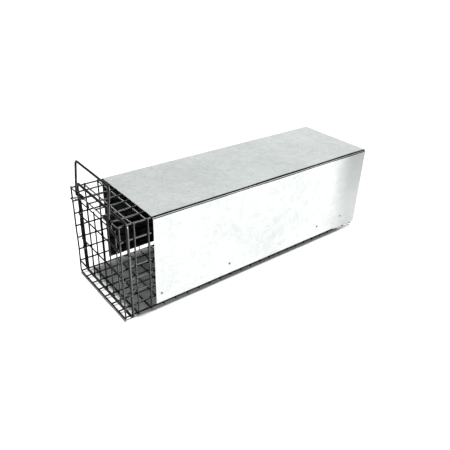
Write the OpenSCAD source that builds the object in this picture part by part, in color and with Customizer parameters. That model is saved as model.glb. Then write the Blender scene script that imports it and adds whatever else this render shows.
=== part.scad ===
// Walk-in cage trap: a welded wire cage under a sheet steel cover, with a sprung drop door,
// the lever bail that lifts it, a treadle, and the trigger rod between door and treadle.
// Millimetres, +Z up, entrance facing -Y; the origin is at the bottom centre of the whole object.

/* [Cage] */
// Mesh pitch, wire to wire
pitch = 25.4; // [25.2:0.1:25.6]
// Mesh cells across the cage
cells_across = 7; // [7]
// Mesh cells along the cage
cells_long = 23; // [22:1:24]
// Mesh wire diameter
wire_d = 2.2; // [2:0.1:2.4]
// How deep crossing wires sink into each other where they are welded
weld_sink = 0.3; // [0.2:0.05:0.4]

/* [Entrance ring] */
// Thick wire diameter of the ring round the entrance
ring_wire_d = 4; // [3.5:0.1:4.2]
// Distance of the ring behind the entrance plane
ring_y = 12.7; // [11:0.1:14]
// Half width of the ring, to the wire's centre
ring_half_w = 91.5; // [91.3:0.1:92.5]
// Bend radius at the ring's corners
ring_bend = 8; // [8:0.5:9]
// Outside diameter of the ferrule that joins the ring's ends
ferrule_d = 6.2; // [5.6:0.1:6.3]
// Length of the ferrule
ferrule_l = 39; // [30:1:42]

/* [Cover] */
// Sheet thickness
sheet_t = 0.9; // [0.7:0.1:1.1]
// Start of the cover behind the entrance plane
cover_start = 59.7; // [56:0.1:66]
// Length of the cover
cover_l = 530.8; // [526:0.1:534]
// Outside radius of the cover's two long bends
cover_bend = 5; // [4:0.5:6]
// Height of the cover's side edges over the floor wires
cover_edge_z = 8; // [6:0.5:10]
// Length of the deeper stretch at the rear of the sides
cover_deep_l = 70; // [60:1:80]
// How much deeper that stretch is
cover_deep = 2.5; // [1:0.5:3]

/* [Door] */
// Thick wire diameter of the lever bail
bail_wire_d = 3; // [2.8:0.1:3]
// Height of the lever bail's top bar over the floor wires
bail_z = 239; // [225:1:245]
// Distance of the lever bail's top bar behind the hinge wire
bail_back = 3.2; // [0:0.1:4]
// Distance of the door's uprights behind the hinge wire
door_offset = 5.1; // [5:0.1:5.2]
// Half width of the grille's two middle cross bars
grille_half_w = 75; // [68:1:78]
// Height over the floor wires of the bar that the closed door rests against
stop_z = 19.6; // [18:0.1:21]

/* [Trigger] */
// Trigger rod diameter
rod_d = 3; // [2.8:0.1:3]
// Trigger rod's place across the cage
rod_x = 56; // [55.8:0.1:56.3]
// Front tip of the trigger rod behind the entrance plane
rod_tip_y = 18.4; // [18.3:0.1:19]
// Treadle pivot behind the entrance plane
pivot_y = 317.5; // [317:0.1:318]
// Treadle pivot height over the floor wires
pivot_z = 11; // [10.8:0.1:12]
// Treadle plate length behind its pivot
plate_l = 125; // [110:1:130]
// Treadle plate width
plate_w = 104; // [90:1:108]

/* [Hidden] */

// Facets of round bars and of small round parts
bar_fn = 24;
part_fn = 32;

wire_r = wire_d / 2;
// Distance between the centres of two welded crossing wires
stack = wire_d - weld_sink;
cage_half_w = cells_across * pitch / 2;
cage_h = cells_across * pitch;
cage_l = cells_long * pitch;
// Corner wires that run along the floor and the roof stand in from the corner by this much
corner_inset = 2.9;
// Run of lengthwise wires across a floor or a roof
long_x = [-cage_half_w + corner_inset, for (i = [1:cells_across - 1]) (i - cells_across / 2) * pitch,
    cage_half_w - corner_inset];

// Radial play of a part that is pressed or clipped on, and of a rivet in its hole
tight_fit = 0.02;
rivet_fit = 0.05;

ring_r = ring_wire_d / 2;
ring_low_z = -2;
ring_high_z = 183.5;
ferrule_z = 71;
tie_r = 5;
tie_wire_r = 0.8;
tie_z = [2 * pitch, 5 * pitch];

// The grille's cross bars lie in front of its uprights
grille_x = [for (i = [1:cells_across - 1]) (i - cells_across / 2) * pitch];
grille_end_x = grille_x[len(grille_x) - 1];
cross_y = door_offset - stack;
hinge_z = cage_h;
rail_z = hinge_z - 16.5;
low_bar_z = 14;
middle_z = [80, 130.8];
stop_r = 1.5;
stop_gap = 0.2;
stop_y = door_offset - wire_r - stop_gap - stop_r;

// The bail's eyes turn on the hinge wire, beside a lengthwise wire of the roof; the wire is drawn
// thinner round its eyes
bail_r = bail_wire_d / 2;
bail_bend = 5;
bail_side_gap = 0.3;
bail_half_w = grille_end_x - wire_r - bail_side_gap - bail_r;
eye_play = 0.2;
bail_eye_r = wire_r + bail_r + eye_play;
bail_eye_wire_r = bail_r - 0.2;
// Lower end of the bail's tails, behind and below the hinge wire
bail_tail = [1.1, -20];

spring_wire_r = 1.1;
spring_coil_r = 2.6;
spring_turns = 5;
spring_x = [40.8, 52.6];
spring_sides = 8;
spring_steps = 16;
// Run of the right spring's ends: across, behind the entrance plane, and up from the hinge wire
spring_tail_y = door_offset + wire_r + spring_wire_r + 0.1;
spring_tail = [[37, spring_tail_y, -20], [40.4, spring_tail_y, -12], [40.5, 4.6, -5]];
spring_leg = [[55.6, -1.9, -5], [59, -2.6, -6.2], [64, -2.6, -7]];
spring_end = [[80, 2.4, -19.3], [66.6, 1.2, -14.3]];
// The spring's hook round the corner wire, and its play there
hook_z = -20.8;
hook_play = 0.5;

rod_r = rod_d / 2;
rod_z = hinge_z - 6;
rod_drop_z = rod_z - 11.8;
guide_y = [3 * pitch, 7 * pitch, 11 * pitch];
guide_r = 3.6;
guide_wire_r = 0.9;
guide_z = rod_z + 0.8;

pivot_r = 2;
pivot_half_l = 80.6;
pivot_fit = 0.05;
plate_t = 1;
knuckle_r = 3.2;
plate_flange_z = stack + wire_r + 0.3;
eye_r = 3.8;
eye_wire_r = 1.2;
eye_z = rod_z - 6.8;
arm_r = 1.5;
arm_x = rod_x + eye_r + 0.4;

ear_x = 75;
ear_t = 1.5;
ear_half_y = 8;
ear_top_z = pivot_z + 6;
foot_x = [58, 87.6];
foot_z = stack + wire_r;
foot_t = 1.2;
clamp_z = stack - wire_r - 1.2;
bracket_rivet_x = [69.5, 81];
bracket_rivet_r = 1.5;
bracket_head_r = 2.6;
retainer_t = 0.8;
retainer_gap = 0.4;
retainer_r = 3.8;

cover_inner_w = cage_half_w + wire_r + 0.4;
cover_outer_w = cover_inner_w + sheet_t;
cover_top_z = cage_h + stack + wire_r + 0.3 + sheet_t;
cover_corner_r = 6;
// Rivets along each side: distance behind the entrance plane and height over the floor wires; the
// clips behind them lie in the cells between the cross wires
rivet_at = [[3 * pitch - 5.3, pitch + 1.2], [9 * pitch - 6.3, pitch + 4],
    [18 * pitch + 7.3, pitch + 6.1], [21 * pitch + 5.7, pitch + 9.1]];
rivet_r = 1.6;
rivet_head_r = 2.5;
rivet_head_t = 1.1;
clip_w = 8;
clip_t = 0.8;
side_long_x = cage_half_w - stack;

// The whole object stands on the entrance ring's bottom bar, and its length is centred
front_reach = bail_eye_r + bail_r;
floor_z = ring_r - ring_low_z;
entrance_y = -(cover_start + cover_l - front_reach) / 2;

function unit(v) = v / norm(v);
function tangents(p) = [for (i = [0:len(p) - 1])
    unit(p[min(i + 1, len(p) - 1)] - p[max(i - 1, 0)])];
function carried(n, t) = unit(n - (n * t) * t);
function normals(t, n, i = 0) = i >= len(t) ? [] :
    let (m = carried(n, t[i])) concat([m], normals(t, m, i + 1));

// Puts a module drawn from the entrance plane and the floor wires into the object's frame
module placed() {
    translate([0, entrance_y, floor_z]) children();
}

// Straight round bar from point a to point b
module bar(a, b, r) {
    d = b - a;
    l = norm(d);
    translate(a) rotate([0, acos(d.z / l), atan2(d.y, d.x)]) cylinder(r = r, h = l, $fn = bar_fn);
}

// Quarter bend in the XZ plane round the point c, from angle a on
module quarter_bend(c, bend, r, a) {
    translate(c) rotate([90, -a, 0]) mirror([0, 0, 1])
        rotate_extrude(angle = 90, $fn = part_fn) translate([bend, 0]) circle(r = r, $fn = bar_fn);
}

// Closed wire loop with rounded corners, in the XZ plane at y
module wire_loop(half_w, low_z, high_z, y, bend, r) {
    for (s = [-1, 1]) {
        bar([s * half_w, y, low_z + bend], [s * half_w, y, high_z - bend], r);
    }
    for (z = [low_z, high_z]) {
        bar([-half_w + bend, y, z], [half_w - bend, y, z], r);
    }
    quarter_bend([half_w - bend, y, high_z - bend], bend, r, 0);
    quarter_bend([-half_w + bend, y, high_z - bend], bend, r, 90);
    quarter_bend([-half_w + bend, y, low_z + bend], bend, r, 180);
    quarter_bend([half_w - bend, y, low_z + bend], bend, r, 270);
}

// Bent wire swept along the points of a path
module swept_wire(path, r, sides, start_normal) {
    t = tangents(path);
    n = normals(t, start_normal);
    rings = len(path);
    points = [for (i = [0:rings - 1]) for (k = [0:sides - 1])
        let (a = 360 * k / sides) path[i] + r * (cos(a) * n[i] + sin(a) * cross(t[i], n[i]))];
    walls = [for (i = [0:rings - 2]) for (k = [0:sides - 1])
        let (m = (k + 1) % sides)
        [i * sides + k, i * sides + m, (i + 1) * sides + m, (i + 1) * sides + k]];
    low_cap = [for (k = [sides - 1:-1:0]) k];
    high_cap = [for (k = [0:sides - 1]) (rings - 1) * sides + k];
    polyhedron(points, [low_cap, each walls, high_cap]);
}

// Mesh of a floor or a roof: cross wires at z, lengthwise wires one stack away on the given side
module level_mesh(z, side) {
    for (i = [0:cells_long]) {
        bar([-cage_half_w - wire_r, i * pitch, z], [cage_half_w + wire_r, i * pitch, z], wire_r);
    }
    for (x = long_x) {
        bar([x, -wire_r, z + side * stack], [x, cage_l + wire_r, z + side * stack], wire_r);
    }
}

module floor_mesh() {
    color("darkgray") placed() level_mesh(0, 1);
}

module roof_mesh() {
    color("darkgray") placed() level_mesh(cage_h, 1);
}

// Mesh of a side wall, with its lengthwise wires on the inside
module side_mesh(side) {
    color("darkgray") placed() {
        for (i = [0:cells_long]) {
            bar([side * cage_half_w, i * pitch, wire_r], [side * cage_half_w, i * pitch, cage_h - wire_r],
                wire_r);
        }
        for (i = [1:cells_across - 1]) {
            bar([side * side_long_x, -wire_r, i * pitch],
                [side * side_long_x, cage_l + wire_r, i * pitch], wire_r);
        }
    }
}

module left_side_mesh() {
    side_mesh(-1);
}

module right_side_mesh() {
    side_mesh(1);
}

// Rear panel: uprights just inside the last wires of the cage, and cross bars in front of them
module rear_mesh() {
    y = cage_l - 2 * wire_r + weld_sink;
    color("darkgray") placed() {
        for (i = [1:cells_across - 1]) {
            x = (i - cells_across / 2) * pitch;
            bar([x, y, wire_r - weld_sink], [x, y, cage_h - wire_r + weld_sink], wire_r);
        }
        for (i = [1:cells_across - 1]) {
            z = i * pitch + stack;
            bar([-side_long_x - wire_r, y - stack, z], [side_long_x + wire_r, y - stack, z], wire_r);
        }
    }
}

module entrance_ring() {
    color("dimgray") placed()
        wire_loop(ring_half_w, ring_low_z, ring_high_z, ring_y, ring_bend, ring_r);
}

module ring_ferrule() {
    color("dimgray") placed() translate([-ring_half_w, ring_y, ferrule_z]) difference() {
        cylinder(d = ferrule_d, h = ferrule_l, $fn = part_fn);
        translate([0, 0, -1]) cylinder(r = ring_r + tight_fit, h = ferrule_l + 2, $fn = part_fn);
    }
}

// Wire ties that hold the ring to the lengthwise wires of both sides
module ring_ties() {
    x = (ring_half_w + ring_r + side_long_x - wire_r) / 2;
    color("silver") placed() for (s = [-1, 1], z = tie_z) {
        translate([s * x, ring_y, z]) rotate([45, 0, 0])
            rotate_extrude($fn = part_fn) translate([tie_r, 0]) circle(r = tie_wire_r, $fn = 16);
    }
}

// Bar across the entrance behind its front uprights, which the closed door rests against
module door_stop() {
    x = cage_half_w + wire_r;
    color("gray") placed() bar([-x, stop_y, stop_z], [x, stop_y, stop_z], stop_r);
}

// Points of a quarter arc round c
function arc_points(c, r, from, steps) = [for (i = [0:steps])
    c + r * [cos(from + 90 * i / steps), sin(from + 90 * i / steps)]];

// Cross-section of the cover: an inverted U with round bends
module cover_outline() {
    bend_steps = 8;
    inner = cover_bend - sheet_t;
    low = cover_edge_z - cover_deep;
    c = [cover_outer_w - cover_bend, cover_top_z - cover_bend];
    mirrored = [-c.x, c.y];
    polygon([[cover_outer_w, low], each arc_points(c, cover_bend, 0, bend_steps),
        each arc_points(mirrored, cover_bend, 90, bend_steps), [-cover_outer_w, low],
        [-cover_inner_w, low],
        for (i = [bend_steps:-1:0]) arc_points(mirrored, inner, 90, bend_steps)[i],
        for (i = [bend_steps:-1:0]) arc_points(c, inner, 0, bend_steps)[i],
        [cover_inner_w, low]]);
}

module cover() {
    wide = 2 * cover_outer_w + 2;
    front_l = cover_l - cover_deep_l;
    rear_y = cover_start + cover_l;
    low = cover_edge_z - cover_deep;
    color("lightsteelblue") placed() difference() {
        translate([0, rear_y, 0]) rotate([90, 0, 0]) linear_extrude(cover_l) cover_outline();
        translate([-wide / 2, cover_start - 1, low - 1]) cube([wide, front_l + 1, cover_deep + 1]);
        difference() {
            translate([-wide / 2, rear_y - cover_corner_r, low - 1])
                cube([wide, cover_corner_r + 1, cover_corner_r + 1]);
            translate([-wide / 2 - 1, rear_y - cover_corner_r, low + cover_corner_r])
                rotate([0, 90, 0]) cylinder(r = cover_corner_r, h = wide + 2, $fn = part_fn);
        }
        for (p = rivet_at) {
            translate([-wide / 2, p.x, p.y]) rotate([0, 90, 0])
                cylinder(r = rivet_r + rivet_fit, h = wide, $fn = part_fn);
        }
    }
}

// Rivets: domed head outside, shank through the sheet and the clip, flat tail inside
module cover_rivets() {
    grip = sheet_t + clip_t;
    tail_t = 0.6;
    color("gray") placed() for (s = [-1, 1], p = rivet_at) {
        translate([s * cover_outer_w, p.x, p.y]) rotate([0, s * 90, 0]) {
            cylinder(r1 = rivet_head_r, r2 = rivet_head_r * 0.6, h = rivet_head_t, $fn = part_fn);
            translate([0, 0, -grip - tail_t]) {
                cylinder(r = rivet_r, h = grip + tail_t + rivet_head_t / 2, $fn = part_fn);
                cylinder(r = rivet_r + 0.5, h = tail_t, $fn = part_fn);
            }
        }
    }
}

// Clips: a strip behind the rivet, hooked under and round the cage's side wire
module cover_clips() {
    x = cover_inner_w - clip_t;
    hook_x = side_long_x - wire_r - 0.1;
    hook_z = pitch - wire_r - 0.1;
    rim = 4;
    color("silver") placed() for (s = [-1, 1], p = rivet_at) {
        mirror([s < 0 ? 1 : 0, 0, 0]) translate([0, p.x + clip_w / 2, 0]) rotate([90, 0, 0])
            difference() {
                linear_extrude(clip_w) polygon([[x, p.y + rim], [x + clip_t, p.y + rim],
                    [x + clip_t, hook_z - clip_t], [hook_x - clip_t, hook_z - clip_t],
                    [hook_x - clip_t, pitch + 0.4], [hook_x, pitch + 0.4], [hook_x, hook_z],
                    [x, hook_z]]);
                translate([x - 1, p.y, clip_w / 2]) rotate([0, 90, 0])
                    cylinder(r = rivet_r + rivet_fit, h = clip_t + 2, $fn = part_fn);
            }
    }
}

// Lever bail: a thick wire over the roof, with an eye round the hinge wire at each leg's foot, and
// a tail below each eye that carries the door's grille
module lever_bail() {
    rise = bail_z - hinge_z;
    lean = atan2(bail_back + bail_eye_r, rise);
    leg = norm([bail_back + bail_eye_r, rise]);
    inner = bail_half_w - bail_bend;
    color("dimgray") placed() translate([0, 0, hinge_z]) {
        translate([0, -bail_eye_r, 0]) rotate([-lean, 0, 0]) {
            for (s = [-1, 1]) {
                bar([s * bail_half_w, 0, 0], [s * bail_half_w, 0, leg - bail_bend], bail_r);
            }
            bar([-inner, 0, leg], [inner, 0, leg], bail_r);
            quarter_bend([inner, 0, leg - bail_bend], bail_bend, bail_r, 0);
            quarter_bend([-inner, 0, leg - bail_bend], bail_bend, bail_r, 90);
        }
        for (s = [-1, 1]) {
            translate([s * bail_half_w, 0, 0]) rotate([0, 90, 0]) rotate_extrude($fn = part_fn)
                translate([bail_eye_r, 0]) circle(r = bail_eye_wire_r, $fn = bar_fn);
            bar([s * bail_half_w, 0, -bail_eye_r], [s * bail_half_w, bail_tail.x, bail_tail.y], bail_r);
        }
    }
}

// Door grille: uprights with a top rail, two middle bars and a low bar welded in front of them
module door_grille() {
    end = grille_end_x + wire_r;
    color("darkgray") placed() {
        for (x = grille_x) {
            bar([x, door_offset, low_bar_z - wire_r], [x, door_offset, rail_z + wire_r], wire_r);
        }
        for (z = [low_bar_z, rail_z]) {
            bar([-end, cross_y, z], [end, cross_y, z], wire_r);
        }
        for (z = middle_z) {
            bar([-grille_half_w, cross_y, z], [grille_half_w, cross_y, z], wire_r);
        }
    }
}

// Path of the right spring: tail behind a grille upright, coil round the hinge wire, leg below the
// bail's eye to the corner wire, a hook round it, and an end that turns back towards the door
function spring_path() = let (
        steps = spring_turns * spring_steps,
        coil = [for (i = [0:steps])
            let (a = 270 + 360 * spring_turns * i / steps)
            [spring_x[0] + (spring_x[1] - spring_x[0]) * i / steps,
                -spring_coil_r * cos(a), spring_coil_r * sin(a)]],
        hook_r = wire_r + spring_wire_r + hook_play,
        hook = [for (a = [-60:30:180]) [cage_half_w + hook_r * sin(a), -hook_r * cos(a), hook_z]])
    concat(spring_tail, coil, spring_leg, hook, spring_end);

module door_spring(side) {
    color("dimgray") placed() translate([0, 0, hinge_z]) mirror([side < 0 ? 1 : 0, 0, 0])
        swept_wire(spring_path(), spring_wire_r, spring_sides, [0, 1, 0]);
}

module door_spring_left() {
    door_spring(-1);
}

module door_spring_right() {
    door_spring(1);
}

// Trigger rod: a straight rod under the roof with its rear end bent down into the arm's eye
module trigger_rod() {
    bend = 5;
    color("gray") placed() {
        bar([rod_x, rod_tip_y, rod_z], [rod_x, pivot_y - bend, rod_z], rod_r);
        translate([rod_x, pivot_y - bend, rod_z - bend]) rotate([90, 0, 90])
            rotate_extrude(angle = 90, $fn = part_fn)
                translate([bend, 0]) circle(r = rod_r, $fn = bar_fn);
        bar([rod_x, pivot_y, rod_drop_z], [rod_x, pivot_y, rod_z - bend], rod_r);
    }
}

module rod_guides() {
    color("silver") placed() for (y = guide_y) {
        translate([rod_x, y, guide_z]) rotate([90, 0, 0])
            rotate_extrude($fn = part_fn) translate([guide_r, 0]) circle(r = guide_wire_r, $fn = 16);
    }
}

// Treadle plate: rolled knuckle round the pivot rod, flat plate, turned-down rear edge
module treadle_plate() {
    top = pivot_z + knuckle_r;
    color("silver") placed() difference() {
        union() {
            translate([-plate_w / 2, pivot_y, pivot_z]) rotate([0, 90, 0])
                cylinder(r = knuckle_r, h = plate_w, $fn = part_fn);
            translate([-plate_w / 2, pivot_y, top - plate_t]) cube([plate_w, plate_l, plate_t]);
            translate([-plate_w / 2, pivot_y + plate_l - plate_t, plate_flange_z])
                cube([plate_w, plate_t, top - plate_flange_z]);
        }
        translate([-plate_w / 2 - 1, pivot_y, pivot_z]) rotate([0, 90, 0])
            cylinder(r = pivot_r + pivot_fit, h = plate_w + 2, $fn = part_fn);
    }
}

module treadle_rod() {
    color("gray") placed()
        bar([-pivot_half_l, pivot_y, pivot_z], [pivot_half_l, pivot_y, pivot_z], pivot_r);
}

// Treadle arm: an upright with a foot sleeve on the pivot rod and an eye round the trigger rod
module treadle_arm() {
    color("gray") placed() {
        difference() {
            union() {
                translate([arm_x - 4, pivot_y, pivot_z]) rotate([0, 90, 0])
                    cylinder(r = knuckle_r, h = 8, $fn = part_fn);
                bar([arm_x, pivot_y, pivot_z], [arm_x, pivot_y, eye_z + eye_wire_r], arm_r);
            }
            translate([arm_x - 5, pivot_y, pivot_z]) rotate([0, 90, 0])
                cylinder(r = pivot_r + pivot_fit, h = 10, $fn = part_fn);
        }
        translate([rod_x, pivot_y, eye_z])
            rotate_extrude($fn = part_fn) translate([eye_r, 0]) circle(r = eye_wire_r, $fn = 16);
    }
}

// Bracket: an upright ear with the pivot's bearing hole, on a foot that lies on the floor wires
module treadle_bracket(side) {
    color("silver") placed() mirror([side < 0 ? 1 : 0, 0, 0]) translate([0, pivot_y, 0]) difference() {
        union() {
            translate([foot_x[0], -ear_half_y, foot_z])
                cube([foot_x[1] - foot_x[0], 2 * ear_half_y, foot_t]);
            translate([ear_x, -ear_half_y, foot_z]) cube([ear_t, 2 * ear_half_y, ear_top_z - foot_z]);
        }
        translate([ear_x - 1, 0, pivot_z]) rotate([0, 90, 0])
            cylinder(r = pivot_r + pivot_fit, h = ear_t + 2, $fn = part_fn);
        for (x = bracket_rivet_x) {
            translate([x, 0, foot_z - 1])
                cylinder(r = bracket_rivet_r + rivet_fit, h = foot_t + 2, $fn = part_fn);
        }
    }
}

module treadle_bracket_left() {
    treadle_bracket(-1);
}

module treadle_bracket_right() {
    treadle_bracket(1);
}

// Clamp plates under the lengthwise wires, opposite the brackets' feet
module bracket_clamps() {
    color("silver") placed() for (s = [-1, 1]) {
        mirror([s < 0 ? 1 : 0, 0, 0]) translate([0, pivot_y, 0]) difference() {
            translate([foot_x[0], -ear_half_y, clamp_z])
                cube([foot_x[1] - foot_x[0], 2 * ear_half_y, foot_t]);
            for (x = bracket_rivet_x) {
                translate([x, 0, clamp_z - 1])
                    cylinder(r = bracket_rivet_r + rivet_fit, h = foot_t + 2, $fn = part_fn);
            }
        }
    }
}

module bracket_rivets() {
    head_t = 0.7;
    color("gray") placed() for (s = [-1, 1], x = bracket_rivet_x) {
        translate([s * x, pivot_y, 0]) {
            translate([0, 0, clamp_z - head_t])
                cylinder(r = bracket_rivet_r, h = foot_z + foot_t - clamp_z + 2 * head_t, $fn = part_fn);
            translate([0, 0, clamp_z - head_t]) cylinder(r = bracket_head_r, h = head_t, $fn = part_fn);
            translate([0, 0, foot_z + foot_t]) cylinder(r = bracket_head_r, h = head_t, $fn = part_fn);
        }
    }
}

module retaining_rings() {
    color("dimgray") placed() for (s = [-1, 1]) {
        x = ear_x + ear_t + retainer_gap;
        translate([s > 0 ? x : -x - retainer_t, pivot_y, pivot_z]) rotate([0, 90, 0]) difference() {
            cylinder(r = retainer_r, h = retainer_t, $fn = part_fn);
            translate([0, 0, -1]) cylinder(r = pivot_r + tight_fit, h = retainer_t + 2, $fn = part_fn);
        }
    }
}

floor_mesh();
roof_mesh();
left_side_mesh();
right_side_mesh();
rear_mesh();
entrance_ring();
ring_ferrule();
ring_ties();
door_stop();
cover();
cover_rivets();
cover_clips();
lever_bail();
door_grille();
door_spring_left();
door_spring_right();
trigger_rod();
rod_guides();
treadle_plate();
treadle_rod();
treadle_arm();
treadle_bracket_left();
treadle_bracket_right();
bracket_clamps();
bracket_rivets();
retaining_rings();
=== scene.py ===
import math

import bpy
from mathutils import Matrix, Vector, noise


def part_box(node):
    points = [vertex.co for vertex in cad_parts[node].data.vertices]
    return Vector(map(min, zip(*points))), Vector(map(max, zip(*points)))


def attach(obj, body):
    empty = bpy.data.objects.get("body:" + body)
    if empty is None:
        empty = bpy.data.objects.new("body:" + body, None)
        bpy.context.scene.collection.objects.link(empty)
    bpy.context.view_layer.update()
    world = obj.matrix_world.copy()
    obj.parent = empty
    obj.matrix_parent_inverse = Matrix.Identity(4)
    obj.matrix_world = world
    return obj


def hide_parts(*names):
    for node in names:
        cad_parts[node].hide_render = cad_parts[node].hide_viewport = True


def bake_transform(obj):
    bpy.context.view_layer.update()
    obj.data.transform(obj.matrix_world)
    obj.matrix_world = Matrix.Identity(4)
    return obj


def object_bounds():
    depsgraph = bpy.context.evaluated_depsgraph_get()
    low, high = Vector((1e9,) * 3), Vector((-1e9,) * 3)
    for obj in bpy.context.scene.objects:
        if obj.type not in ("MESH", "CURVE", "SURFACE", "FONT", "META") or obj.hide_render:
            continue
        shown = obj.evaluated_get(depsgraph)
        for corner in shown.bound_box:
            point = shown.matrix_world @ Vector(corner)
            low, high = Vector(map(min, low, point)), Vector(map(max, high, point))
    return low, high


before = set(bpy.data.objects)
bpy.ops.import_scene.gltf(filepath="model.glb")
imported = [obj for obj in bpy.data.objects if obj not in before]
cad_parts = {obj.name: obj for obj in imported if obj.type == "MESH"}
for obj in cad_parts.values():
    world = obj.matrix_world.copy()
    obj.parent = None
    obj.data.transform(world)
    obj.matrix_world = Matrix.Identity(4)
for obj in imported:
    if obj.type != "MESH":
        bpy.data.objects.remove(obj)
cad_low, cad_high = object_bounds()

MM = 0.001
X, Y, Z = Vector((1, 0, 0)), Vector((0, 1, 0)), Vector((0, 0, 1))

# ---------------------------------------------------------------- camera

CAMERA_AZIMUTH = 50.87
CAMERA_ELEVATION = 30.02
CAMERA_ROLL = 2.29
CAMERA_FROM_CENTRE = Vector((0.7045, -0.5849, 0.4583))
CAMERA_LENS = 40.4


def camera_turn(azimuth, elevation, roll):
    """Rotation of a camera that looks along azimuth and down by elevation, rolled about its view."""
    a, e, c = map(math.radians, (azimuth, elevation, roll))
    ahead = Vector((-math.sin(a) * math.cos(e), math.cos(a) * math.cos(e), -math.sin(e)))
    right = ahead.cross(Z).normalized()
    up = right.cross(ahead)
    columns = (math.cos(c) * right + math.sin(c) * up, math.cos(c) * up - math.sin(c) * right, -ahead)
    return Matrix(columns).transposed()


def make_camera():
    camera = bpy.data.objects.new("camera", bpy.data.cameras.new("camera"))
    bpy.context.scene.collection.objects.link(camera)
    camera.data.lens = CAMERA_LENS
    place = Matrix.Translation((cad_low + cad_high) / 2 + CAMERA_FROM_CENTRE)
    camera.matrix_world = place @ camera_turn(CAMERA_AZIMUTH, CAMERA_ELEVATION, CAMERA_ROLL).to_4x4()
    bpy.context.scene.camera = camera


make_camera()

# ---------------------------------------------------------------- sizes, taken from the frame

MESH_R = 1.1 * MM
ZINC_T = 0.32 * MM
DOOR_ZINC_T = 0.12 * MM
WIRE_R = MESH_R + ZINC_T
DOOR_WIRE_R = MESH_R + DOOR_ZINC_T
WELD_W, WELD_H = 1.25 * MESH_R, 0.75 * MESH_R
CELLS_LONG, CELLS_ACROSS = 23, 7
floor_low, floor_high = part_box("floor_mesh")
roof_low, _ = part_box("roof_mesh")
ENTRANCE = floor_low.y + MESH_R
REAR = floor_high.y - MESH_R
FLOOR = floor_low.z + MESH_R
ROOF = roof_low.z + MESH_R
HALF_W = floor_high.x - MESH_R
STACK = floor_high.z - floor_low.z - 2 * MESH_R
PITCH = (REAR - ENTRANCE) / CELLS_LONG
CORNER_BEND = 3 * MM
CORNER_WIRE = HALF_W - CORNER_BEND + 0.1 * MM
SIDE_LONG = HALF_W - STACK
LONG_X = [-CORNER_WIRE, *[(i - CELLS_ACROSS / 2) * PITCH for i in range(1, CELLS_ACROSS)], CORNER_WIRE]
MESH_STEP = PITCH / 2
BAR_STEP = 12 * MM

cover_low, cover_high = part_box("cover")
SHEET_T = 0.9 * MM

# ---------------------------------------------------------------- shapes


def smooth_step(low, high, v):
    t = min(max((v - low) / (high - low), 0), 1)
    return t * t * (3 - 2 * t)


HANDLING = 0.3 * MM
FRONT_HANDLING = 0.6 * MM
FRONT_L = 3.2 * PITCH
STIFF_R, LOOSE_R = 0.2 * PITCH, 1.2 * PITCH
HANDLING_SIZE = 2.3 * PITCH


def handled(p):
    """A point of the cage mesh as handling has left it: a little off true, most at the open front.

    Round the hinge wire's line the mesh stays true. noise_vector isn't seeded here, so the wires
    lie up to about a millimetre differently from run to run.
    """
    loose = HANDLING + FRONT_HANDLING * (1 - smooth_step(0, FRONT_L, p.y - ENTRANCE))
    off_hinge = math.hypot(p.y - ENTRANCE, p.z - ROOF)
    loose *= smooth_step(STIFF_R, LOOSE_R, off_hinge)
    return p + loose * noise.noise_vector(p / HANDLING_SIZE)


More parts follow.
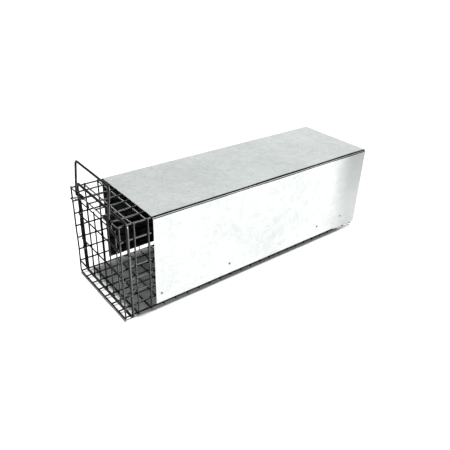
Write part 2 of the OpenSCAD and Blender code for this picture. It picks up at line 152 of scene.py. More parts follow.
class Shape:
    """Gathers vertices and faces, and turns them into one piece."""

    def __init__(self):
        self.points = []
        self.faces = []
        self.marks = []

    def ring(self, points):
        first = len(self.points)
        self.points += [tuple(p) for p in points]
        return list(range(first, first + len(points)))

    def face(self, corners, mark=0):
        self.faces.append(tuple(corners))
        self.marks.append(mark)

    def bridge(self, a, b, closed=True, mark=0):
        n = len(a)
        for k in range(n if closed else n - 1):
            m = (k + 1) % n
            self.face((a[k], a[m], b[m], b[k]), mark)

    def tube(self, path, r, sides=10, closed=False):
        """Round wire along a path, with cut ends whose edges are a little rounded.

        r: its radius, or a function that gives the radius at a point.
        """
        path = [Vector(p) for p in path]
        if not closed:
            chamfer = 0.3 * (r(path[0]) if callable(r) else r)
            start = (path[1] - path[0]).normalized()
            end = (path[-1] - path[-2]).normalized()
            path = [path[0], path[0] + chamfer * start, *path[1:-1], path[-1] - chamfer * end, path[-1]]
        n = len(path)
        radii = [r(p) if callable(r) else r for p in path]
        if not closed:
            radii[0] *= 0.7
            radii[-1] *= 0.7
        rings = []
        normal = None
        for i, p in enumerate(path):
            before = path[i - 1] if closed or i > 0 else p
            after = path[(i + 1) % n] if closed or i < n - 1 else p
            t = (after - before).normalized()
            if normal is None:
                normal = t.cross(X if abs(t.x) < 0.8 else Z).normalized()
            normal = (normal - normal.dot(t) * t).normalized()
            side = t.cross(normal)
            turns = [2 * math.pi * k / sides for k in range(sides)]
            rings.append(self.ring([p + radii[i] * (math.cos(a) * normal + math.sin(a) * side)
                                    for a in turns]))
        for a, b in zip(rings, rings[1:]):
            self.bridge(a, b)
        if closed:
            self.close_loop(rings[-1], rings[0])
        else:
            self.face(reversed(rings[0]))
            self.face(rings[-1])

    def close_loop(self, a, b):
        """Joins the last ring of a closed wire to its first one, at the turn that lies nearest."""
        n = len(a)
        here = Vector(self.points[a[0]])
        shift = min(range(n), key=lambda k: (Vector(self.points[b[k]]) - here).length)
        self.bridge(a, b[shift:] + b[:shift])

    def nugget(self, centre, up, wide, high, sides=8, levels=4):
        """Flattened drop of weld metal between two crossing wires."""
        across = up.cross(X if abs(up.x) < 0.8 else Z).normalized()
        other = up.cross(across)
        rings = []
        for j in range(1, levels):
            b = math.pi * j / levels
            rings.append(self.ring([centre - high * math.cos(b) * up + wide * math.sin(b)
                                    * (math.cos(2 * math.pi * k / sides) * across
                                       + math.sin(2 * math.pi * k / sides) * other)
                                    for k in range(sides)]))
        low, top = self.ring([centre - high * up, centre + high * up])
        for a, b in zip(rings, rings[1:]):
            self.bridge(a, b)
        for k in range(sides):
            m = (k + 1) % sides
            self.face((low, rings[0][m], rings[0][k]))
            self.face((top, rings[-1][k], rings[-1][m]))

    def turned(self, centre, axis, profile, sides):
        """Body of revolution about an axis. The profile is a closed list of (height, radius)."""
        across = axis.cross(X if abs(axis.x) < 0.8 else Z).normalized()
        other = axis.cross(across)
        rings = []
        for height, radius in profile:
            if radius == 0:
                rings.append(self.ring([centre + height * axis]) * sides)
            else:
                rings.append(self.ring([centre + height * axis + radius
                                        * (math.cos(2 * math.pi * k / sides) * across
                                           + math.sin(2 * math.pi * k / sides) * other)
                                        for k in range(sides)]))
        for a, b in zip(rings, rings[1:] + rings[:1]):
            for k in range(sides):
                m = (k + 1) % sides
                corners = []
                for c in (a[k], a[m], b[m], b[k]):
                    if c not in corners:
                        corners.append(c)
                if len(corners) > 2:
                    self.face(corners)

    def made(self, name, body, materials, node, smooth_angle=40):
        """The piece, smooth-shaded, riding on its body, if it has one, and standing for its CAD node."""
        mesh = bpy.data.meshes.new(name)
        mesh.from_pydata(self.points, [], self.faces)
        mesh.polygons.foreach_set("material_index", self.marks)
        mesh.validate()
        piece = bpy.data.objects.new(name, mesh)
        bpy.context.scene.collection.objects.link(piece)
        for material in materials if isinstance(materials, list) else [materials]:
            mesh.materials.append(material)
        mesh.shade_smooth()
        mesh.set_sharp_from_angle(angle=math.radians(smooth_angle))
        if body is not None:
            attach(piece, body)
        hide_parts(node)
        return piece


def along(a, b, step):
    """Points from a to b, no further than step apart."""
    a, b = Vector(a), Vector(b)
    n = max(1, math.ceil((b - a).length / step))
    return [a.lerp(b, i / n) for i in range(n + 1)]


def quarter(centre, radius, first, second, steps=6):
    """Points of a quarter arc from centre + radius * first to centre + radius * second."""
    turns = [math.pi / 2 * i / steps for i in range(steps + 1)]
    return [centre + radius * (math.cos(t) * first + math.sin(t) * second) for t in turns]


def loop_path(half_w, low, high, y, bend, step):
    """Closed path round a rounded rectangle in the XZ plane."""
    path = []
    corners = [(1, 1, X, Z), (-1, 1, Z, -X), (-1, -1, -X, -Z), (1, -1, -Z, X)]
    for sx, sz, first, second in corners:
        centre = Vector((sx * (half_w - bend), y, (high - bend) if sz > 0 else (low + bend)))
        arc = quarter(centre, bend, first, second)
        if path:
            path += along(path[-1], arc[0], step)[1:-1]
        path += arc
    path += along(path[-1], path[0], step)[1:-1]
    return path


# ---------------------------------------------------------------- materials


class Finish:
    """One material: a Principled shader with its node tree in object coordinates."""

    def __init__(self, name, **fixed):
        self.material = bpy.data.materials.new(name)
        self.material.use_nodes = True
        self.tree = self.material.node_tree
        self.shader = self.tree.nodes["Principled BSDF"]
        for socket, value in fixed.items():
            self.shader.inputs[socket.replace("_", " ")].default_value = value
        self.place = self.tree.nodes.new("ShaderNodeTexCoord").outputs["Object"]

    def link(self, a, b):
        self.tree.links.new(a, b)

    def scaled(self, x, y, z):
        node = self.tree.nodes.new("ShaderNodeMapping")
        node.inputs["Scale"].default_value = (x, y, z)
        self.link(self.place, node.inputs["Vector"])
        return node.outputs["Vector"]

    def axes(self):
        node = self.tree.nodes.new("ShaderNodeSeparateXYZ")
        self.link(self.place, node.inputs[0])
        return node.outputs

    def noise(self, scale, detail=4, roughness=0.6, place=None):
        node = self.tree.nodes.new("ShaderNodeTexNoise")
        node.inputs["Scale"].default_value = scale
        node.inputs["Detail"].default_value = detail
        node.inputs["Roughness"].default_value = roughness
        self.link(place or self.place, node.inputs["Vector"])
        return node.outputs["Fac"]

    def cells(self, scale, place=None):
        node = self.tree.nodes.new("ShaderNodeTexVoronoi")
        node.inputs["Scale"].default_value = scale
        self.link(place or self.place, node.inputs["Vector"])
        return node

    def span(self, value, from_low, from_high, to_low, to_high, soft=False):
        node = self.tree.nodes.new("ShaderNodeMapRange")
        node.interpolation_type = "SMOOTHSTEP" if soft else "LINEAR"
        node.inputs["From Min"].default_value = from_low
        node.inputs["From Max"].default_value = from_high
        node.inputs["To Min"].default_value = to_low
        node.inputs["To Max"].default_value = to_high
        self.link(value, node.inputs["Value"])
        return node.outputs["Result"]

    def blend(self, fac, a, b):
        node = self.tree.nodes.new("ShaderNodeMix")
        node.data_type = "RGBA"
        self.link(fac, node.inputs["Factor"])
        for value, socket in ((a, node.inputs[6]), (b, node.inputs[7])):
            if isinstance(value, tuple):
                socket.default_value = (*value, 1)
            else:
                self.link(value, socket)
        return node.outputs[2]

    def maths(self, operation, a, b):
        node = self.tree.nodes.new("ShaderNodeMath")
        node.operation = operation
        for value, socket in ((a, node.inputs[0]), (b, node.inputs[1])):
            if isinstance(value, (int, float)):
                socket.default_value = value
            else:
                self.link(value, socket)
        return node.outputs[0]

    def colour(self, output):
        self.link(output, self.shader.inputs["Base Color"])

    def rough(self, output):
        self.link(output, self.shader.inputs["Roughness"])

    def bump(self, height, strength, depth):
        node = self.tree.nodes.new("ShaderNodeBump")
        node.inputs["Strength"].default_value = strength
        node.inputs["Distance"].default_value = depth
        self.link(height, node.inputs["Height"])
        self.link(node.outputs["Normal"], self.shader.inputs["Normal"])


def wire_finish(name, dark, light, dull=0.5, metallic=0.8, grain=900, specular=0.5):
    """Zinc-coated or bare wire: blotches of dull and brighter metal, with a fine grain."""
    f = Finish(name, Metallic=metallic, Specular_IOR_Level=specular)
    blotch = f.noise(160, 5, 0.65)
    fleck = f.cells(grain).outputs["Color"]
    mixed = f.maths("ADD", f.maths("MULTIPLY", blotch, 0.75), f.maths("MULTIPLY", fleck, 0.25))
    f.colour(f.blend(f.span(mixed, 0.3, 0.7, 0, 1, soft=True), dark, light))
    f.rough(f.span(f.noise(grain * 0.7, 3), 0.3, 0.7, dull - 0.12, dull + 0.12))
    f.bump(f.noise(grain, 4), 0.35, 0.06 * MM)
    return f.material


CRYSTALS = 95
CRYSTAL_WANDER = 3.5 * MM
SCRATCH_SCALE = (1400, 26, 1400)
CROSS_SCALE = (120, 1100, 120)
# How far the painted shade at the cover's rear end darkens the sheet
SCUFF_TINT = 0.62
REAR_SHADE_TINT = 0.54


def spangled_finish(name, dark, light, shine, metallic=0.9, rear_shade=None):
    """Galvanised sheet: zinc crystals of slightly different grey and gloss, rolling grain and scuffs.

    rear_shade: (x, y0, y1). Beyond x on either side, the sheet's colour darkens from y0 to y1, more near
    the top: painted shade.
    """
    f = Finish(name, Metallic=metallic)
    wander = f.noise(CRYSTALS * 2.2, 3)
    node = f.tree.nodes.new("ShaderNodeVectorMath")
    node.operation = "MULTIPLY_ADD"
    node.inputs[1].default_value = (CRYSTAL_WANDER,) * 3
    f.link(wander, node.inputs[0])
    f.link(f.place, node.inputs[2])
    crystals = f.cells(CRYSTALS, node.outputs[0])
    small = f.cells(CRYSTALS * 2.7, node.outputs[0])
    shade = f.maths("ADD", f.maths("MULTIPLY", crystals.outputs["Color"], 0.5),
                    f.maths("MULTIPLY", small.outputs["Color"], 0.5))
    cloud = f.noise(7, 5, 0.65)
    tone = f.maths("ADD", f.maths("MULTIPLY", shade, 0.4), f.maths("MULTIPLY", cloud, 0.6))
    body = f.blend(f.span(tone, 0.3, 0.7, 0, 1), dark, light)
    scratch = f.noise(1, 2, 0.5, f.scaled(*SCRATCH_SCALE))
    cross = f.noise(1, 2, 0.5, f.scaled(*CROSS_SCALE))
    worn = f.maths("MULTIPLY", f.span(scratch, 0.62, 0.72, 0, 1), f.span(cloud, 0.42, 0.62, 0, 1))
    smudge = f.maths("MULTIPLY", f.span(f.noise(23, 6, 0.7), 0.6, 0.78, 0, 1, soft=True),
                     f.span(f.noise(6, 2), 0.5, 0.62, 0, 1, soft=True))
    marks = f.maths("MAXIMUM", f.maths("MULTIPLY", worn, 0.3), f.maths("MULTIPLY", smudge, 0.55))
    body = f.blend(marks, body, tuple(SCUFF_TINT * c for c in dark))
    # Painted shade: the sides darken towards the rear end, most near the top.
    if rear_shade is not None:
        side_x, start_y, end_y = rear_shade
        x, y, z = f.axes()
        where = f.maths("ADD", y, f.maths("MULTIPLY", f.span(cloud, 0.3, 0.7, -1, 1), 12 * MM))
        end = f.span(where, start_y, end_y, 0, 1, soft=True)
        high = f.span(z, 0.05, 0.19, 0.55, 1)
        side = f.span(f.maths("ABSOLUTE", x, 0), side_x, side_x + 2 * MM, 0, 1)
        dull = f.maths("MULTIPLY", side, f.maths("MULTIPLY", end, high))
        body = f.blend(dull, body, tuple(REAR_SHADE_TINT * c for c in dark))
    f.colour(body)
    gloss = f.span(shade, 0.2, 0.8, shine - 0.03, shine + 0.05)
    f.rough(f.maths("ADD", gloss, f.maths("MULTIPLY", f.span(cross, 0.6, 0.75, 0, 1), 0.1)))
    height = f.maths("ADD", f.maths("MULTIPLY", crystals.outputs["Distance"], 0.5),
                     f.maths("MULTIPLY", scratch, 0.5))
    f.bump(height, 0.1, 0.1 * MM)
    return f.material


GALVANISED_WIRE = wire_finish("galvanised_wire", (0.003, 0.0031, 0.003), (0.008, 0.0083, 0.0081),
                              metallic=0.1, specular=0.05)
THICK_WIRE = wire_finish("thick_wire", (0.004, 0.0041, 0.004), (0.01, 0.0102, 0.01), dull=0.36,
                         grain=700, metallic=0.1, specular=0.08)
FERRULE_STEEL = wire_finish("ferrule_steel", (0.006, 0.006, 0.007), (0.02, 0.02, 0.019), dull=0.5)
SPRING_STEEL = wire_finish("spring_steel", (0.012, 0.013, 0.013), (0.04, 0.042, 0.042), dull=0.34,
                           grain=1300)
TIE_WIRE = wire_finish("tie_wire", (0.14, 0.14, 0.14), (0.32, 0.33, 0.33), dull=0.4, grain=1300)
RIVET_STEEL = wire_finish("rivet_steel", (0.2, 0.205, 0.21), (0.42, 0.43, 0.43), dull=0.4, grain=1100)
# The outside faces carry painted shade at the rear end of both sides.
COVER_OUTSIDE = spangled_finish("cover_outside", (0.62, 0.64, 0.635), (0.82, 0.835, 0.83), shine=0.12,
                                metallic=1, rear_shade=(cover_high.x - 3 * MM, 0.19, 0.27))
# Inside faces of the same sheet, painted near black: painted shade for the dim interior under the cover.
COVER_INSIDE_PAINTED_SHADE = spangled_finish("cover_inside_painted_shade", (0.03, 0.033, 0.032), (0.08, 0.085, 0.084), shine=0.5)
GALVANISED_SHEET = spangled_finish("galvanised_sheet", (0.16, 0.17, 0.17), (0.34, 0.35, 0.35),
                                   shine=0.4)

# ---------------------------------------------------------------- cage


def bare_wire(y):
    """Radius of a mesh wire at y: thick with zinc only in front of the cover."""
    return WIRE_R if y < cover_low.y else MESH_R


def level_mesh(name, z):
    """Floor or roof mesh. Its cross wires turn up at both sides with a small bend.

    The entrance's top wire is the door's hinge, and as thin as the door's own wires.
    """
    shape = Shape()
    for i in range(CELLS_LONG + 1):
        y = ENTRANCE + i * PITCH
        left = quarter(Vector((-HALF_W + CORNER_BEND, y, z + CORNER_BEND)), CORNER_BEND, -X, -Z)
        right = quarter(Vector((HALF_W - CORNER_BEND, y, z + CORNER_BEND)), CORNER_BEND, -Z, X)
        path = left + along(left[-1], right[0], MESH_STEP)[1:-1] + right
        hinge_wire = z == ROOF and i == 0
        shape.tube([handled(p) for p in path], DOOR_WIRE_R if hinge_wire else bare_wire(y))
    for x in LONG_X:
        path = along((x, ENTRANCE - MESH_R, z + STACK), (x, REAR + MESH_R, z + STACK), MESH_STEP)
        at_corner = abs(x) == CORNER_WIRE
        shape.tube([handled(p) for p in path], WIRE_R if at_corner else lambda p: bare_wire(p.y))
        for i in range(CELLS_LONG + 1):
            middle = Vector((x, ENTRANCE + i * PITCH, z + STACK / 2))
            shape.nugget(handled(middle), Z, WELD_W, WELD_H)
    shape.made(name + "_wires", "cage", GALVANISED_WIRE, name)


def side_mesh(name, side):
    """Side wall: uprights between the corner bends, lengthwise wires inside them."""
    shape = Shape()
    for i in range(CELLS_LONG + 1):
        y = ENTRANCE + i * PITCH
        path = along((side * HALF_W, y, FLOOR + CORNER_BEND), (side * HALF_W, y, ROOF + CORNER_BEND),
                     MESH_STEP)
        shape.tube([handled(p) for p in path], bare_wire(y))
    for k in range(1, CELLS_ACROSS):
        x, z = side * SIDE_LONG, FLOOR + k * PITCH
        path = along((x, ENTRANCE - MESH_R, z), (x, REAR + MESH_R, z), MESH_STEP)
        shape.tube([handled(p) for p in path], WIRE_R)
        for i in range(CELLS_LONG + 1):
            middle = Vector((side * (SIDE_LONG + STACK / 2), ENTRANCE + i * PITCH, z))
            shape.nugget(handled(middle), X, WELD_W, WELD_H)
    shape.made(name + "_wires", "cage", GALVANISED_WIRE, name)


def rear_mesh():
    """End panel: uprights at the rear, cross wires in front of them."""
    shape = Shape()
    low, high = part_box("rear_mesh")
    y = high.y - MESH_R
    for i in range(1, CELLS_ACROSS):
        x = (i - CELLS_ACROSS / 2) * PITCH
        shape.tube([handled(p) for p in along((x, y, low.z), (x, y, high.z), MESH_STEP)], WIRE_R)
    for k in range(1, CELLS_ACROSS):
        z = FLOOR + k * PITCH + STACK
        path = along((low.x, y - STACK, z), (high.x, y - STACK, z), MESH_STEP)
        shape.tube([handled(p) for p in path], WIRE_R)
        for i in range(1, CELLS_ACROSS):
            middle = Vector(((i - CELLS_ACROSS / 2) * PITCH, y - STACK / 2, z))
            shape.nugget(handled(middle), Y, WELD_W, WELD_H)
    shape.made("rear_mesh_wires", "cage", GALVANISED_WIRE, "rear_mesh")


level_mesh("floor_mesh", FLOOR)
level_mesh("roof_mesh", ROOF)
side_mesh("left_side_mesh", -1)
side_mesh("right_side_mesh", 1)
rear_mesh()

# ---------------------------------------------------------------- entrance


RING_BEND = 8 * MM
FERRULE_BORE = 2.02 * MM
FERRULE_CRIMPS = (0.2, 0.5, 0.8)
CRIMP_L, CRIMP_DEPTH = 0.035, 0.12
RIM_L, RIM_DEPTH = 0.03, 0.12


def entrance_ring():
    """Thick wire loop round the entrance."""
    low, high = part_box("entrance_ring")
    r = (high.y - low.y) / 2
    y = (high.y + low.y) / 2
    shape = Shape()
    path = loop_path(high.x - r, low.z + r, high.z - r, y, RING_BEND, BAR_STEP)
    shape.tube(path, r + ZINC_T, sides=14, closed=True)
    shape.made("entrance_ring_wire", "cage", THICK_WIRE, "entrance_ring")


def ring_ferrule():
    """Sleeve pressed over the ring's ends, with three crimped waists and rolled rims.

    The lengths and places of waists and rims are parts of its length, their depths parts of its radius.
    """
    low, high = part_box("ring_ferrule")
    r = (high.x - low.x) / 2
    length = high.z - low.z
    centre = Vector(((low.x + high.x) / 2, (low.y + high.y) / 2, low.z))
    outside = []
    steps = 48
    for i in range(steps + 1):
        s = i / steps
        crimp = sum(math.exp(-((s - c) / CRIMP_L) ** 2) for c in FERRULE_CRIMPS)
        rim = RIM_DEPTH * (1 - smooth_step(0, RIM_L, min(s, 1 - s)))
        outside.append((s * length, r * (1 - CRIMP_DEPTH * crimp - rim)))
    shape = Shape()
    shape.turned(centre, Z, [(0, FERRULE_BORE), *outside, (length, FERRULE_BORE)], sides=28)
    shape.made("ring_ferrule_sleeve", "cage", FERRULE_STEEL, "ring_ferrule")


def door_stop():
    """Thick bar behind the entrance's two corner wires, with a weld bead at each of them."""
    low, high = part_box("door_stop")
    r = (high.z - low.z) / 2
    y, z = (low.y + high.y) / 2, (low.z + high.z) / 2
    shape = Shape()
    shape.tube(along((low.x, y, z), (high.x, y, z), 15 * MM), r, sides=14)
    for side in (-1, 1):
        shape.nugget(Vector((side * HALF_W, ENTRANCE + MESH_R, z)), Y, 1.3 * MESH_R, 0.8 * MESH_R)
    shape.made("door_stop_wire", "cage", THICK_WIRE, "door_stop")


entrance_ring()
ring_ferrule()
door_stop()

# ---------------------------------------------------------------- cover

COVER_BEND = 5.6 * MM
SIDE_EDGE = 8 * MM
DEEP_L = 70 * MM
DEEP = 2.5 * MM
REAR_CORNER = 6 * MM
RIVETS = [(ENTRANCE + cell * PITCH + off * MM, FLOOR + PITCH + up * MM)
          for cell, off, up in ((3, -5.3, 1.2), (9, -6.3, 4), (18, 7.3, 6.1), (21, 5.7, 9.1))]
_, rivets_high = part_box("cover_rivets")
BROKEN_EDGE = 0.22 * MM
OIL_CAN, OIL_CAN_L = 0.28 * MM, 95 * MM
RIPPLE, RIPPLE_L = 0.05 * MM, 24 * MM
RIVET_DENT, RIVET_DENT_R = 0.22 * MM, 7 * MM
RIM_CALM_L = 30 * MM
RIM_CALM = 0.35


def lower_edge(y):
    """Height of the cover's side edge, deeper at the rear, and round at the rear corner."""
    step = smooth_step(cover_high.y - DEEP_L, cover_high.y - DEEP_L + 2 * MM, y)
    z = FLOOR + SIDE_EDGE - DEEP * step
    into = y - (cover_high.y - REAR_CORNER)
    if into > 0:
        z += REAR_CORNER - math.sqrt(max(REAR_CORNER ** 2 - into ** 2, 0))
    return z


def cover_line(y):
    """Outside of the cover at y, from the left edge over the top to the right edge: points, normals."""
    out_x, top = cover_high.x, cover_high.z
    rows = []
    side_steps, top_steps, bend_steps = 24, 24, 8
    low = lower_edge(y)
    for i in range(side_steps + 1):
        z = low + (top - COVER_BEND - low) * i / side_steps
        rows.append((Vector((-out_x, y, z)), -X))
    for i in range(1, bend_steps + 1):
        t = math.pi / 2 * i / bend_steps
        n = Vector((-math.cos(t), 0, math.sin(t)))
        rows.append((Vector((-out_x + COVER_BEND, y, top - COVER_BEND)) + COVER_BEND * n, n))
    for i in range(1, top_steps):
        x = (out_x - COVER_BEND) * (2 * i / top_steps - 1)
        rows.append((Vector((x, y, top)), Z))
    for p, n in reversed(rows[:side_steps + bend_steps + 1]):
        rows.append((Vector((-p.x, p.y, p.z)), Vector((-n.x, 0, n.z))))
    return rows


def sheet_wave(p, n):
    """How far the sheet bulges out of true at a point: gentle oil-canning, and dimples at the rivets."""
    flat = max(abs(n.x), abs(n.z))
    calm = smooth_step(0.9, 1, flat)
    edge = smooth_step(0, RIM_CALM_L, min(p.y - cover_low.y, cover_high.y - p.y))
    wave = OIL_CAN * noise.noise(p / OIL_CAN_L) + RIPPLE * noise.noise(p / RIPPLE_L)
    dent = 0
    if abs(n.x) > 0.9:
        for y, z in RIVETS:
            away = math.hypot(p.y - y, p.z - z)
            dent += RIVET_DENT * math.exp(-(away / RIVET_DENT_R) ** 2)
    return calm * (RIM_CALM + (1 - RIM_CALM) * edge) * wave - dent


def cover():
    """Bent sheet with its real thickness: both faces, four rims, and a small break on every rim."""
    stations = [cover_low.y + (cover_high.y - cover_low.y) * i / 88 for i in range(88)]
    step_at = cover_high.y - DEEP_L
    stations += [step_at, step_at + 0.5 * MM, step_at + 1 * MM, step_at + 1.5 * MM, step_at + 2 * MM]
    stations += [cover_high.y - REAR_CORNER * (1 - math.sin(math.pi / 2 * i / 8)) for i in range(9)]
    stations = sorted(stations)
    kept = [stations[0]]
    for y in stations[1:]:
        if y - kept[-1] > 0.2 * MM:
            kept.append(y)
    kept[-1] = cover_high.y
    shape = Shape()
    outer, inner = [], []
    for y in kept:
        line = [(p + sheet_wave(p, n) * n, n) for p, n in cover_line(y)]
        outer.append(shape.ring([p for p, n in line]))
        inner.append(shape.ring([p - SHEET_T * n for p, n in line]))
    for a, b in zip(outer, outer[1:]):
        shape.bridge(b, a, closed=False)
    # Slot 1, the inside faces, takes the near-black painted-shade copy of the sheet.
    for a, b in zip(inner, inner[1:]):
        shape.bridge(a, b, closed=False, mark=1)
    shape.bridge(outer[0], inner[0], closed=False)
    shape.bridge(inner[-1], outer[-1], closed=False)
    for k in (0, -1):
        a = [ring[k] for ring in outer]
        b = [ring[k] for ring in inner]
        if k == 0:
            shape.bridge(b, a, closed=False)
        else:
            shape.bridge(a, b, closed=False)
    piece = shape.made("cover_sheet", "cage", [COVER_OUTSIDE, COVER_INSIDE_PAINTED_SHADE], "cover",
                       smooth_angle=50)
    broken = piece.modifiers.new("broken_edges", "BEVEL")
    broken.width = BROKEN_EDGE
    broken.segments = 2
    broken.limit_method = "ANGLE"
    broken.angle_limit = math.radians(60)


def cover_rivets():
    """Domed rivet heads with a drawn-in mandrel hole, shanks and pressed tails."""
    shape = Shape()
    head_t = 1.1 * MM
    head_r = 2.5 * MM
    shank_r = 1.6 * MM
    tail = rivets_high.x - head_t - cover_high.x
    depth = SHEET_T + 0.8 * MM + 0.6 * MM
    dome = [(head_t * math.cos(t), head_r * math.sin(t))
            for t in (math.pi / 2 * i / 6 for i in range(2, 7))]
    hole = [(0.4 * head_t, 0), (0.4 * head_t, 0.7 * MM), (head_t * 0.93, 0.75 * MM)]
    profile = hole + dome + [(-0.1 * MM + tail, head_r), (-0.1 * MM, shank_r),
                             (-depth + 0.6 * MM, shank_r),
                             (-depth + 0.5 * MM, shank_r + 0.5 * MM), (-depth, shank_r + 0.4 * MM),
                             (-depth - 0.1 * MM, shank_r - 0.2 * MM), (-depth - 0.1 * MM, 0)]
    for side in (-1, 1):
        for y, z in RIVETS:
            centre = Vector((side * (cover_high.x - 0.15 * MM), y, z))
            shape.turned(centre, side * X, profile, sides=20)
    shape.made("cover_rivets_domed", "cage", RIVET_STEEL, "cover_rivets")


cover()
cover_rivets()

# ---------------------------------------------------------------- door


BAIL_R = 1.5 * MM
BAIL_BEND = 5 * MM
BAIL_BACK = 3.2 * MM
EYE_R = 2.8 * MM
EYE_WIRE_R = 1.3 * MM
TAIL_Y, TAIL_Z = 1.1 * MM, -20 * MM
BAIL_ZINC_T = 1.5 * ZINC_T
BAIL_BARE_TO, BAIL_COATED_FROM = ROOF + 2 * MM, ROOF + 10 * MM
UPRIGHT_Y = ENTRANCE + 5.1 * MM
BAR_Y = UPRIGHT_Y - STACK
RAIL_DROP = 16.5 * MM
LOW_BAR_UP = 14 * MM
MIDDLE_BARS_UP = (80 * MM, 130.8 * MM)


def bail_radius(p):
    """Bare wire at the eyes, where it rubs on the hinge wire, and a thick zinc coat above them."""
    return BAIL_R + BAIL_ZINC_T * smooth_step(BAIL_BARE_TO, BAIL_COATED_FROM, p.z)


def lever_bail():
    """Thick wire over the roof; each leg ends in an eye round the hinge wire, with a welded tail."""
    _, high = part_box("lever_bail")
    half_w, top = high.x - BAIL_R, high.z - BAIL_R
    hinge = Vector((0, ENTRANCE, ROOF))
    foot = Vector((0, -EYE_R, 0))
    up = (Vector((0, BAIL_BACK, top - ROOF)) - foot).normalized()
    height = (Vector((0, BAIL_BACK, top - ROOF)) - foot).length
    shape = Shape()
    feet = [hinge + foot + side * half_w * X for side in (-1, 1)]
    shoulder = (height - BAIL_BEND) * up
    path = along(feet[0], feet[0] + shoulder, BAR_STEP)
    path += quarter(feet[0] + shoulder + BAIL_BEND * X, BAIL_BEND, -X, up)[1:]
    other = quarter(feet[1] + shoulder - BAIL_BEND * X, BAIL_BEND, up, X)
    path += along(path[-1], other[0], BAR_STEP)[1:-1] + other
    path += along(feet[1] + shoulder, feet[1], BAR_STEP)[1:]
    shape.tube(path, bail_radius, sides=14)
    for side in (-1, 1):
        centre = hinge + side * half_w * X
        turns = [2 * math.pi * k / 28 for k in range(28)]
        eye = [centre + EYE_R * (math.cos(t) * Y + math.sin(t) * Z) for t in turns]
        shape.tube(eye, EYE_WIRE_R, sides=12, closed=True)
        tail = along(centre - EYE_R * Z, centre + Vector((0, TAIL_Y, TAIL_Z)), 6 * MM)
        shape.tube(tail, BAIL_R, sides=14)
        shape.nugget(centre - (EYE_R + 0.2 * MM) * Z, Z, 1.15 * BAIL_R, 0.8 * BAIL_R)
        shape.nugget(centre + Vector((0, 2.1 * MM, -16.5 * MM)), Y, 1.2 * BAIL_R, 0.9 * MESH_R)
    shape.made("lever_bail_wire", "door", THICK_WIRE, "lever_bail")


def door_grille():
    """Six uprights with a rail, two middle bars and a low bar welded in front of them.

    The trigger rod's tip passes under the rail, which has no thick zinc coat.
    """
    low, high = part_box("door_grille")
    xs = LONG_X[1:-1]
    rail_z = ROOF - RAIL_DROP
    bars = [(FLOOR + LOW_BAR_UP, xs[-1] + MESH_R), (rail_z, xs[-1] + MESH_R),
            *[(FLOOR + up, high.x) for up in MIDDLE_BARS_UP]]
    shape = Shape()
    for x in xs:
        shape.tube(along((x, UPRIGHT_Y, low.z), (x, UPRIGHT_Y, rail_z + MESH_R), BAR_STEP), DOOR_WIRE_R)
    for z, end in bars:
        bar = along((-end, BAR_Y, z), (end, BAR_Y, z), BAR_STEP)
        shape.tube(bar, MESH_R if z == rail_z else DOOR_WIRE_R)
        for x in xs:
            shape.nugget(Vector((x, UPRIGHT_Y - STACK / 2, z)), Y, WELD_W, WELD_H)
    shape.made("door_grille_wires", "door", GALVANISED_WIRE, "door_grille")


COIL_R = 2.6 * MM
COIL_TURNS = 5
COIL_X = (40.8 * MM, 52.6 * MM)
SPRING_R = 1.1 * MM
SPRING_GAP = 0.12 * MM
SPRING_TAIL_Y = UPRIGHT_Y - ENTRANCE + DOOR_WIRE_R + SPRING_R + SPRING_GAP
HOOK_Z = -20.8 * MM


def spring_path():
    """Right spring: tail behind the grille, coil on the hinge wire, leg, hook on the corner wire, end.

    Its points are written as offsets from the hinge wire's middle.
    """
    steps = 20 * COIL_TURNS
    path = [Vector((37 * MM, SPRING_TAIL_Y, -20 * MM)), Vector((38.9 * MM, SPRING_TAIL_Y, -15.6 * MM)),
            Vector((40.4 * MM, SPRING_TAIL_Y, -11.5 * MM)), Vector((40.6 * MM, 6.4 * MM, -8 * MM)),
            Vector((40.5 * MM, 4.4 * MM, -4.9 * MM)), Vector((40.5 * MM, 2.2 * MM, -3.3 * MM))]
    for i in range(steps + 1):
        t = 2 * math.pi * COIL_TURNS * i / steps - math.pi / 2
        x = COIL_X[0] + (COIL_X[1] - COIL_X[0]) * i / steps
        path.append(Vector((x, -COIL_R * math.cos(t), COIL_R * math.sin(t))))
    path += [Vector((54 * MM, -1.2 * MM, -3.6 * MM)), Vector((55.8 * MM, -1.9 * MM, -5 * MM)),
             Vector((59 * MM, -2.6 * MM, -6.2 * MM)), Vector((64 * MM, -2.6 * MM, -7.2 * MM)),
             Vector((75 * MM, -2.2 * MM, -13.6 * MM))]
    hook_r = MESH_R + SPRING_R + 0.5 * MM
    for a in range(-60, 181, 15):
        t = math.radians(a)
        path.append(Vector((HALF_W + hook_r * math.sin(t), -hook_r * math.cos(t), HOOK_Z)))
    path += [Vector((80 * MM, 2.4 * MM, HOOK_Z + 1.5 * MM)),
             Vector((66.6 * MM, 1.2 * MM, HOOK_Z + 6.5 * MM))]
    return [Vector((p.x, p.y + ENTRANCE, p.z + ROOF)) for p in path]


def door_spring(side, name):
    """Spring on one side, attached to no body by this script."""
    shape = Shape()
    shape.tube([Vector((side * p.x, p.y, p.z)) for p in spring_path()], SPRING_R)
    if side < 0:
        shape.faces = [tuple(reversed(f)) for f in shape.faces]
    piece = shape.made(name + "_coil", None, SPRING_STEEL, name)
    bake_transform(piece)


lever_bail()
door_grille()
door_spring(-1, "door_spring_left")
door_spring(1, "door_spring_right")

# ---------------------------------------------------------------- parts kept from the frame

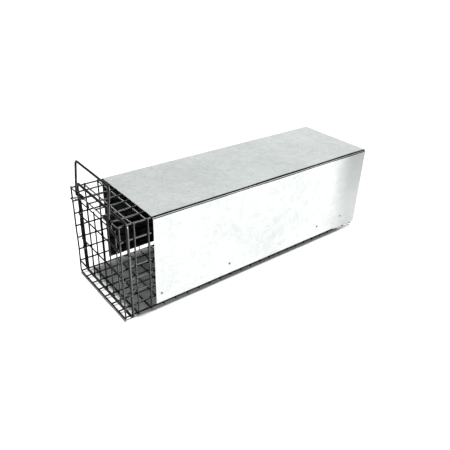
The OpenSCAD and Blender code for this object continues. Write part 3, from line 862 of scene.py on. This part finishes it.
KEPT = {
    "ring_ties": TIE_WIRE,
    "cover_clips": GALVANISED_SHEET,
    "trigger_rod": THICK_WIRE,
    "rod_guides": TIE_WIRE,
    "treadle_plate": GALVANISED_SHEET,
    "treadle_rod": THICK_WIRE,
    "treadle_arm": THICK_WIRE,
    "treadle_bracket_left": GALVANISED_SHEET,
    "treadle_bracket_right": GALVANISED_SHEET,
    "bracket_clamps": GALVANISED_SHEET,
    "bracket_rivets": RIVET_STEEL,
    "retaining_rings": SPRING_STEEL,
}
for node, material in KEPT.items():
    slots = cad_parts[node].data.materials
    slots.clear()
    slots.append(material)

# ---------------------------------------------------------------- studio

FLOOR_REACH = 30
KEY_TILT = 12.6
KEY_SPREAD = 5
KEY_POWER = 3.84
KEY_BLOCKERS = ("cover_sheet", "floor_mesh_wires")
LAMP_SIZE = 0.12
LAMP_BLEND = 0.7
LAMP_REACH = 0.13
SIDE_LAMP_AT, SIDE_LAMP_AIM, SIDE_LAMP_POWER = (1.75, 1.42, 0.35), (0.1, -0.29, 0.12), 11000
LEFT_LAMP_AT, LEFT_LAMP_AIM, LEFT_LAMP_POWER = (-1.3, -0.1, 1.5), (0.05, -0.26, 0.18), 2200
SIDE_LIT = ("entrance_ring_wire", "lever_bail_wire", "right_side_mesh_wires", "door_grille_wires",
            "roof_mesh_wires")
TOP_LIT = ("roof_mesh_wires", "right_side_mesh_wires")


def make_floor():
    mesh = bpy.data.meshes.new("studio_floor")
    mesh.from_pydata([(-FLOOR_REACH, -FLOOR_REACH, 0), (FLOOR_REACH, -FLOOR_REACH, 0),
                      (FLOOR_REACH, FLOOR_REACH, 0), (-FLOOR_REACH, FLOOR_REACH, 0)], [], [(0, 1, 2, 3)])
    floor = bpy.data.objects.new("studio_floor", mesh)
    bpy.context.scene.collection.objects.link(floor)
    f = Finish("studio_floor", Roughness=0.9)
    f.colour(f.blend(f.noise(3), (0.9, 0.9, 0.9), (0.92, 0.92, 0.92)))
    mesh.materials.append(f.material)


def lamp(name, place, aim, power, lit):
    """Spot that lights the collection lit, out to about LAMP_REACH round its aim."""
    light = bpy.data.lights.new(name, "SPOT")
    light.energy = power
    light.shadow_soft_size = LAMP_SIZE
    light.spot_blend = LAMP_BLEND
    light.spot_size = 2 * math.atan(LAMP_REACH / (Vector(aim) - Vector(place)).length)
    spot = bpy.data.objects.new(name, light)
    bpy.context.scene.collection.objects.link(spot)
    spot.location = place
    spot.rotation_mode = "QUATERNION"
    spot.rotation_quaternion = (Vector(aim) - Vector(place)).to_track_quat("-Z", "Y")
    spot.visible_camera = False
    spot.light_linking.receiver_collection = lit


def gathered(name, pieces):
    """Collection of the named pieces, for a light to light or to be blocked by."""
    group = bpy.data.collections.new(name)
    for piece in pieces:
        group.objects.link(bpy.data.objects[piece])
    return group


def overhead_key():
    """Even light from overhead, a little behind, that metal doesn't mirror.

    Only KEY_BLOCKERS throw its shadow.
    """
    light = bpy.data.lights.new("key", "SUN")
    light.energy = KEY_POWER
    light.angle = math.radians(KEY_SPREAD)
    key = bpy.data.objects.new("key", light)
    bpy.context.scene.collection.objects.link(key)
    key.rotation_euler = (math.radians(-KEY_TILT), 0, 0)
    key.visible_glossy = False
    key.light_linking.blocker_collection = gathered("key_blockers", KEY_BLOCKERS)


class Sky:
    """World shader: white behind everything; for light and reflections a grey tent with soft strips."""

    def __init__(self):
        world = bpy.data.worlds.new("studio")
        bpy.context.scene.world = world
        world.use_nodes = True
        self.tree = world.node_tree
        self.background = self.tree.nodes["Background"]
        place = self.tree.nodes.new("ShaderNodeTexCoord").outputs["Generated"]
        parts = self.tree.nodes.new("ShaderNodeSeparateXYZ")
        self.tree.links.new(place, parts.inputs[0])
        self.x, self.y, self.z = parts.outputs

    def put(self, value, socket):
        if isinstance(value, (int, float)):
            socket.default_value = value
        else:
            self.tree.links.new(value, socket)

    def maths(self, operation, a, b=0.0):
        node = self.tree.nodes.new("ShaderNodeMath")
        node.operation = operation
        self.put(a, node.inputs[0])
        self.put(b, node.inputs[1])
        return node.outputs[0]

    def step(self, value, low, high, a=0.0, b=1.0):
        node = self.tree.nodes.new("ShaderNodeMapRange")
        node.interpolation_type = "SMOOTHSTEP"
        self.put(value, node.inputs["Value"])
        for name, number in (("From Min", low), ("From Max", high), ("To Min", a), ("To Max", b)):
            node.inputs[name].default_value = number
        return node.outputs["Result"]

    def ramp(self, value, stops):
        """Brightness along a row of (value, brightness) stops, values rising."""
        out = self.step(value, stops[0][0], stops[1][0], stops[0][1], stops[1][1])
        for (v0, b0), (v1, b1) in zip(stops[1:], stops[2:]):
            out = self.maths("ADD", out, self.step(value, v0, v1, 0, b1 - b0))
        return out

    def mix(self, fac, a, b):
        node = self.tree.nodes.new("ShaderNodeMix")
        self.put(fac, node.inputs["Factor"])
        self.put(a, node.inputs["A"])
        self.put(b, node.inputs["B"])
        return node.outputs["Result"]


SKY_SEEN = 1.2
SKY_PLAIN = 0.4
# Turn about the Y axis from the right horizon (0) over the top to the left one (180), and brightness
SKY_STRIPS = [(0, 0.01), (32, 0.01), (38, 1.3), (48, 1.3), (54, 0.01), (124, 0.01), (138, 0.8),
              (180, 0.76)]
# Brightness of the left of the tent, from the front (-1) to the rear (1)
SKY_LEFT = [(-1, 0.46), (0.18, 0.6), (0.42, 0.87), (0.62, 0.93), (1, 0.9)]
SKY_COLOUR = (0.965, 1.0, 0.995, 1)


def make_world():
    """The tent: strips on its rear part, a plain front, and a brighter left side over the horizon."""
    sky = Sky()
    turn = sky.maths("DEGREES", sky.maths("ARCTAN2", sky.z, sky.x))
    strips = sky.ramp(turn, SKY_STRIPS)
    rear = sky.maths("MULTIPLY", sky.step(sky.y, 0.08, 0.25), sky.step(sky.y, 0.72, 0.9, 1, 0))
    left = sky.maths("MULTIPLY", sky.step(sky.x, -0.54, -0.4, 1, 0), sky.step(sky.z, -0.05, 0.1))
    glow = sky.mix(left, sky.mix(rear, SKY_PLAIN, strips), sky.ramp(sky.y, SKY_LEFT))
    seen = sky.tree.nodes.new("ShaderNodeLightPath").outputs["Is Camera Ray"]
    sky.background.inputs["Color"].default_value = SKY_COLOUR
    sky.put(sky.mix(seen, glow, SKY_SEEN), sky.background.inputs["Strength"])


def make_studio():
    make_floor()
    make_world()
    overhead_key()
    lamp("side", SIDE_LAMP_AT, SIDE_LAMP_AIM, SIDE_LAMP_POWER, gathered("side_lit", SIDE_LIT))
    lamp("left", LEFT_LAMP_AT, LEFT_LAMP_AIM, LEFT_LAMP_POWER, gathered("top_lit", TOP_LIT))
    bpy.context.scene.view_settings.view_transform = "Standard"


make_studio()
